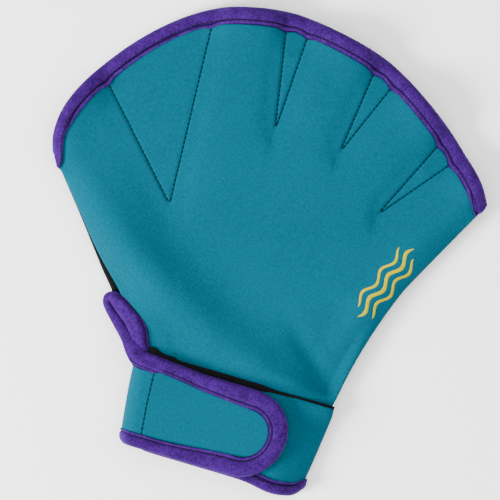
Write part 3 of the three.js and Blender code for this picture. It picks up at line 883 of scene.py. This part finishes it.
def swell(piece, cloth, inset, width, flange):
    """Rolls a binding out to a puffy fold and pulls its stitched groove in."""
    sizes = bpy.context.scene.glove_sizes
    points, normals = read_points(piece), read_normals(piece)
    tree = surface_tree(cloth)
    clear = np.array([tree.find_nearest(Vector(p))[3] for p in points])
    outer = ease(0.45 * MM, 0.9 * MM, clear)
    from_groove = inset - (width - flange)
    half = (width - flange) / 2
    roll = np.clip(1 - ((inset - half) / half) ** 2, 0, 1)
    push = sizes.puff * roll - sizes.groove * np.exp(-((from_groove / GROOVE_REACH) ** 2))
    write_points(piece, points + normals * (push * outer)[:, None])
    set_across(piece, from_groove - 4 * MM * (1 - outer), flange)


class GLOVE_OT_back(bpy.types.Operator):
    """Lay the teal cloth over the back of the hand"""

    bl_idname = "glove.back"
    bl_label = "Back panel"

    def execute(self, context):
        sizes, colours = context.scene.glove_sizes, context.scene.glove_colours
        back = copy_node("back_panel", "back_cloth")
        round_off(back, SHOWN_LEVELS)
        relax_cloth(back)
        points = read_points(back)
        points[:, 1] -= SEAM_CLOSING * (1 - ease(0, 3 * MM, points[:, 1] - HEM[1] - CUFF_HEIGHT))
        pull(points, BACK_PULLS)
        pull(points, THUMB_END_PULLS)
        write_points(back, points)
        webs = [web_line(web, sizes.mouth_binding) for web in WEBS]
        press_lines(back, webs, WEB_HOLLOW_DEPTH, WEB_HOLLOW_REACH)
        cloth = jersey_material("teal_jersey", colours.teal, TEAL_TINT)
        finish_piece(back, "teal_sheet", cloth, "back_panel")
        return {"FINISHED"}


class GLOVE_OT_palm(bpy.types.Operator):
    """Lay the black cloth under the palm"""

    bl_idname = "glove.palm"
    bl_label = "Palm panel"

    def execute(self, context):
        colours = context.scene.glove_colours
        palm = copy_node("palm_panel", "palm_cloth")
        round_off(palm, HIDDEN_LEVELS)
        points = read_points(palm)
        pull(points, THUMB_END_PULLS)
        write_points(palm, points)
        cloth = jersey_material("black_jersey", colours.black, WHITE)
        finish_piece(palm, "black_sheet", cloth, "palm_panel")
        return {"FINISHED"}


class GLOVE_OT_cuff(bpy.types.Operator):
    """Wrap the cuff and its strap round the wrist"""

    bl_idname = "glove.cuff"
    bl_label = "Cuff and strap"

    def execute(self, context):
        cloth = jersey_material("cuff_jersey", context.scene.glove_colours.teal, TEAL_TINT, slant=9)
        cuff = copy_node("cuff_band", "cuff_cloth")
        round_off(cuff, SHOWN_LEVELS)
        points = hang_cuff(read_points(cuff))
        points[:, 1] += SEAM_CLOSING * ease(43 * MM, 46 * MM, points[:, 1] - HEM[1])
        upper = ease(25 * MM, 46 * MM, points[:, 1] - HEM[1])
        points[:, 0] += CUFF_TOP_SPREAD * upper * ease(30 * MM, 48 * MM, points[:, 0] - HEM[0])
        write_points(cuff, points)
        finish_piece(cuff, "teal_sheet", cloth, "cuff_band")
        strap = copy_node("wrist_strap", "strap_cloth")
        round_off(strap, SHOWN_LEVELS)
        write_points(strap, lift_strap(read_points(strap)))
        finish_piece(strap, "teal_sheet", cloth, "wrist_strap")
        patch = copy_node("hook_patch", "hook_pad")
        bevel = patch.modifiers.new("edges", "BEVEL")
        bevel.width = 0.3 * MM
        bevel.segments = 2
        apply_modifiers(patch)
        hooks = plain_material("hook_face", context.scene.glove_colours.black, 0.9)
        finish_piece(patch, "hook_tape", hooks, "hook_patch")
        return {"FINISHED"}


class GLOVE_OT_bindings(bpy.types.Operator):
    """Fold the purple bindings round every edge"""

    bl_idname = "glove.bindings"
    bl_label = "Bindings"

    def execute(self, context):
        sizes, colours = context.scene.glove_sizes, context.scene.glove_colours
        tape = tape_material("purple_tape", colours.purple)
        rim = flat_tree(even_chain(mouth_edge(), RIM_STEP))
        for node, cloth, levels in (
            ("top_binding_back", "back_cloth", SHOWN_LEVELS),
            ("top_binding_palm", "palm_cloth", HIDDEN_LEVELS),
        ):
            piece = copy_node(node, node.replace("binding", "tape"))
            round_off(piece, levels)
            points, inset = self.gather(read_points(piece), rim, sizes)
            if cloth == "back_cloth":
                points = follow(points, cloth)
            write_points(piece, points)
            swell(piece, cloth, inset, sizes.mouth_binding, sizes.mouth_flange)
            finish_piece(piece, "purple_binding", tape, node)
        hem = copy_node("hem_binding", "hem_tape")
        round_off(hem, SHOWN_LEVELS)
        points = read_points(hem)
        inset = points[:, 1] - HEM[1]
        write_points(hem, hang_cuff(points))
        swell(hem, "cuff_cloth", inset, sizes.hem_binding, sizes.flange)
        finish_piece(hem, "purple_binding", tape, "hem_binding")
        strap = copy_node("strap_binding", "strap_tape")
        round_off(strap, SHOWN_LEVELS)
        points = read_points(strap)
        inset, width, flange = self.strap_inset(points, sizes)
        write_points(strap, lift_strap(points))
        swell(strap, "strap_cloth", inset, width, flange)
        finish_piece(strap, "purple_binding", tape, "strap_binding")
        edge = copy_node("slit_binding_palm", "slit_tape_palm")
        round_off(edge, HIDDEN_LEVELS)
        finish_piece(edge, "purple_binding", tape, "slit_binding_palm")
        groove = self.slit_band(sizes, tape)
        thread = plain_material("dark_thread", colours.thread, 0.6)
        self.groove_stitches(sizes, thread, groove, rim)
        return {"FINISHED"}

    @staticmethod
    def gather(points, rim, sizes):
        """Draws the fingertip binding narrower between the webs and its thumb end down to a tail.

        It also says how far each point first lay from the rim.
        """
        flat = points * (1, 1, 0)
        nearest = [rim.find(p) for p in flat]
        inset = np.array([found[2] for found in nearest])
        outward = (np.array([found[0] for found in nearest]) - flat) / np.maximum(inset, 0.1 * MM)[:, None]
        shift = MOUTH_GATHER * ease(3 * MM, 8 * MM, inset)
        for web in WEBS:
            line = web_line(web, sizes.mouth_binding)
            for spot in (line[0], line[-1]):
                shift *= 1 - np.exp(-((np.linalg.norm(flat - spot, axis=1) / WEB_HOLD) ** 2))
        points = points + outward * shift[:, None]
        pull(points, THUMB_END_PULLS)
        return points, inset

    @staticmethod
    def strap_inset(points, sizes):
        """How far in from its edge each point of the strap's binding lies, with its width and flange."""
        y = points[:, 1] - HEM[1]
        x = (points[:, 0] - HEM[0]) / taper(y)
        over = points[:, 2] > STRAP_BACK_HEIGHT
        round_end = np.hypot(x - STRAP_END_CENTRE, y - STRAP_AXIS)
        reach = np.where(over & (x > STRAP_END_CENTRE), round_end, np.abs(y - STRAP_AXIS))
        grown = strap_widening(x) * over
        width = sizes.strap_side + (sizes.strap_end - sizes.strap_side) * grown
        return STRAP_RADIUS - reach, width, sizes.flange + (sizes.end_flange - sizes.flange) * grown

    @staticmethod
    def slit_band(sizes, tape):
        """The rolled binding round the wrist slit, one band that runs on into the strap's edge.

        Returns the places of its groove.
        """
        rows = [np.array(row) * MM + (HEM[0], HEM[1], 0, 0, 0, 0) for row in SLIT_BAND]
        chain = even_chain(curve_through(rows, 10), RIM_STEP)
        middle = chain[:, :3]
        along = np.gradient(middle, axis=0)
        along /= np.linalg.norm(along, axis=1)[:, None]
        side = np.cross((0, 0, 1), along)
        side /= np.linalg.norm(side, axis=1)[:, None]
        up = np.cross(along, side)
        ring, count = SLIT_RING, len(chain)
        start_run, end_run = SLIT_CLOSING
        points, across, groove = [], [], []
        for n in range(count):
            half_width, half_height, stitched = chain[n, 3] / 2, chain[n, 4] / 2, chain[n, 5] / MM
            opened = min(1, (n + 0.5) / start_run, (count - 0.5 - n) / end_run)
            closing = math.sin(math.pi / 2 * opened)
            if stitched > 0.6 and n < count / 2:
                groove.append(middle[n] + side[n] * (sizes.flange - half_width))
            for m in range(ring):
                angle = 2 * math.pi * m / ring
                u = half_width * math.cos(angle) * closing
                sine = math.sin(angle)
                h = half_height * math.copysign(abs(sine) ** SLIT_SQUARENESS, sine) * closing
                from_groove = sizes.flange - half_width - u
                if h > 0:
                    swelling = math.exp(-(((from_groove + 2 * MM) / (2 * MM)) ** 2))
                    h *= 1 + SLIT_SWELLING * stitched * swelling
                    h -= sizes.groove * stitched * math.exp(-((from_groove / GROOVE_REACH) ** 2))
                points.append(middle[n] + side[n] * u + up[n] * h)
                across.append(from_groove - 5 * MM * (1 - stitched) if sine > 0 else -4 * MM)
        faces = strip_faces(count, ring, ring=True)
        faces.append(tuple(range(ring)))
        faces.append(tuple(range(count * ring - ring, count * ring)))
        band = new_piece("slit_tape", points, faces)
        set_across(band, np.array(across), sizes.flange)
        finish_piece(band, "purple_binding", tape, "slit_binding_back")
        return groove

    def groove_stitches(self, sizes, thread, slit_groove, rim):
        """Dark stitches in the grooves of the bindings that show on the back."""
        mouth_line = np.array(mouth_edge(sizes.mouth_binding - sizes.mouth_flange))
        strap_line = strap_rim(sizes.strap_side - sizes.flange, sizes.strap_end - sizes.end_flange)
        rows = {
            "top": (self.gather(mouth_line, rim, sizes)[0], "top_tape_back"),
            "strap": (strap_line, "strap_tape"),
            "slit": (slit_groove, "slit_tape"),
            "hem": ([from_hem(*spot) for spot in HEM_STITCHES], "hem_tape"),
        }
        for name, (chain, carrier) in rows.items():
            laid = drop_on(surface_tree(carrier), even_chain(chain, GROOVE_STEP), GROOVE_STITCH_LIFT)
            stitch_row(f"{name}_stitches", laid, thread)


class GLOVE_OT_web_stitches(bpy.types.Operator):
    """Sew the webs between the fingers and the line across the strap"""

    bl_idname = "glove.web_stitches"
    bl_label = "Web and strap stitches"

    def execute(self, context):
        sizes = context.scene.glove_sizes
        thread = bpy.data.materials["dark_thread"]
        tree = surface_tree("back_cloth")
        for web in WEBS:
            chain = even_chain(web_line(web, sizes.mouth_binding - 0.5 * MM), WEB_STEP)
            laid = drop_on(tree, chain, WEB_STITCH_LIFT)
            stitch_row(f"{web.replace(' ', '_')}_stitches", laid, thread)
        across = even_chain([from_hem(x, y) for x, y in STRAP_STITCHES], WEB_STEP)
        laid = drop_on(surface_tree("strap_cloth"), across, STRAP_STITCH_LIFT)
        stitch_row("strap_stitches_across", laid, thread)
        return {"FINISHED"}


class GLOVE_OT_wrist_seam_and_shadow(bpy.types.Operator):
    """Cover the seam between the back panel and the cuff with a black strip, partly the seam and partly
    painted shadow in the gap above the strap
    """

    bl_idname = "glove.wrist_seam"
    bl_label = "Wrist seam and shadow"

    def execute(self, context):
        tree = surface_tree("back_cloth", "cuff_cloth")
        stations, across = 200, 7
        points, level = [], 12 * MM
        for x in np.linspace(*SEAM_ENDS, stations):
            narrow = ease(10, 24, x)
            low = SEAM_LOW + SEAM_LOW_NARROWING * narrow
            high = SEAM_HIGH - SEAM_HIGH_NARROWING * narrow + SEAM_END_WIDENING * ease(-36, -43, x)
            low -= TOOTH_DEPTH * narrow * abs(math.sin(math.pi * x / TOOTH_WIDTH))
            spots = [from_hem(x, low + (high - low) * m / (across - 1)) for m in range(across)]
            laid = drop_on(tree, spots)
            if len(laid):
                level = laid[:, 2].mean()
            for m, spot in enumerate(spots):
                own = laid[m, 2] if len(laid) == across else level
                ridge = SEAM_RIDGE * math.sin(math.pi * m / (across - 1)) ** 0.5
                end_rise = SEAM_END_RISE * ease(-28, -38, x)
                height = level + 0.35 * (own - level) + ridge - SEAM_SINKING + end_rise
                points.append((spot[0], spot[1], height))
        seam = new_piece("wrist_seam", points, strip_faces(stations, across))
        thicken(seam, SEAM_THICKNESS)
        # Black partly of the seam itself, partly painted shadow under the raised edge of the back panel
        thread = plain_material("seam_and_shadow_black", context.scene.glove_colours.black, 0.85)
        finish_piece(seam, "black_sheet", thread)
        return {"FINISHED"}


class GLOVE_OT_print(bpy.types.Operator):
    """Print plain waves on the little-finger side"""

    bl_idname = "glove.print"
    bl_label = "Printed waves"

    def execute(self, context):
        sizes, colours = context.scene.glove_sizes, context.scene.glove_colours
        ink = plain_material("yellow_ink", colours.ink, 0.7, 700.0, 0.85, 1.0, INK_TINT)
        tree = surface_tree("back_cloth")
        middle = from_hem(*PRINT_MIDDLE)
        stations, across = 90, 4
        for n, (shift, share, width) in enumerate(PRINTED_WAVES):
            points = []
            for t in np.linspace(0, 1, stations):
                run = (t - 0.5) * sizes.wave * share
                wave = WAVE_SWING * math.sin(2 * math.pi * run / WAVE_PERIOD)
                opened = min(1, max(0.02, min(t, 1 - t) * 8))
                tip = math.sin(math.pi / 2 * opened) ** 0.7
                offs = shift * MM + wave + width / 2 * MM * tip * np.linspace(-1, 1, across)
                spots = [middle + PRINT_ALONG * run + PRINT_ACROSS * off for off in offs]
                points.extend(drop_on(tree, spots, INK_LIFT))
            piece = new_piece(f"printed_wave_{n + 1}", points, strip_faces(stations, across))
            thicken(piece, INK_THICKNESS)
            finish_piece(piece, "teal_sheet", ink)
        return {"FINISHED"}


class GLOVE_OT_stage(bpy.types.Operator):
    """Add the floor, the soft lights and the camera"""

    bl_idname = "glove.stage"
    bl_label = "Stage"

    def execute(self, context):
        deselect_all()
        bpy.ops.mesh.primitive_plane_add(size=FLOOR_SIZE, location=(0, 0, FLOOR_DROP))
        floor = context.object
        floor.name = "floor"
        bpy.ops.object.transform_apply(location=True, rotation=True, scale=True)
        floor.data.materials.append(plain_material("pale_floor", FLOOR_COLOUR, 0.9, 3.0, 0.98, 1.0))
        for name, place, size, energy in LIGHTS:
            bpy.ops.object.light_add(type="AREA", location=place)
            light = context.object
            light.name = name
            light.data.size = size
            light.data.energy = energy
            light.rotation_euler = (-Vector(place)).to_track_quat("-Z", "Y").to_euler()
        world = bpy.data.worlds.new("soft_room")
        world.use_nodes = True
        world.node_tree.nodes["Background"].inputs["Color"].default_value = (1, 1, 1, 1)
        world.node_tree.nodes["Background"].inputs["Strength"].default_value = 1.0
        context.scene.world = world
        turn = (0, 0, math.radians(CAMERA_TURN))
        bpy.ops.object.camera_add(location=(*CAMERA_PLACE, CAMERA_HEIGHT), rotation=turn)
        camera = context.object
        camera.name = "camera"
        camera.data.lens = camera.data.sensor_width * CAMERA_HEIGHT / VIEW_WIDTH
        camera.data.clip_end = 20
        context.scene.camera = camera
        return {"FINISHED"}


class GLOVE_PT_panel(bpy.types.Panel):
    """Sizes, colours and steps of the glove"""

    bl_idname = "GLOVE_PT_panel"
    bl_label = "Webbed swim glove"
    bl_space_type = "VIEW_3D"
    bl_region_type = "UI"
    bl_category = "Glove"

    def draw(self, context):
        for group in (context.scene.glove_sizes, context.scene.glove_colours):
            box = self.layout.box()
            for key in group.__annotations__:
                box.prop(group, key)
        for step in STEPS:
            self.layout.operator(step.bl_idname)


STEPS = (
    GLOVE_OT_stage,
    GLOVE_OT_back,
    GLOVE_OT_palm,
    GLOVE_OT_cuff,
    GLOVE_OT_bindings,
    GLOVE_OT_web_stitches,
    GLOVE_OT_wrist_seam_and_shadow,
    GLOVE_OT_print,
)
CLASSES = (GloveSizes, GloveColours, *STEPS, GLOVE_PT_panel)


def register():
    for cls in CLASSES:
        bpy.utils.register_class(cls)
    bpy.types.Scene.glove_sizes = PointerProperty(type=GloveSizes)
    bpy.types.Scene.glove_colours = PointerProperty(type=GloveColours)


def unregister():
    del bpy.types.Scene.glove_colours
    del bpy.types.Scene.glove_sizes
    for cls in reversed(CLASSES):
        bpy.utils.unregister_class(cls)


def main():
    register()
    bpy.ops.glove.stage()
    bpy.ops.glove.back()
    bpy.ops.glove.palm()
    bpy.ops.glove.cuff()
    bpy.ops.glove.bindings()
    bpy.ops.glove.web_stitches()
    bpy.ops.glove.wrist_seam()
    bpy.ops.glove.print()


if __name__ == "__main__":
    main()
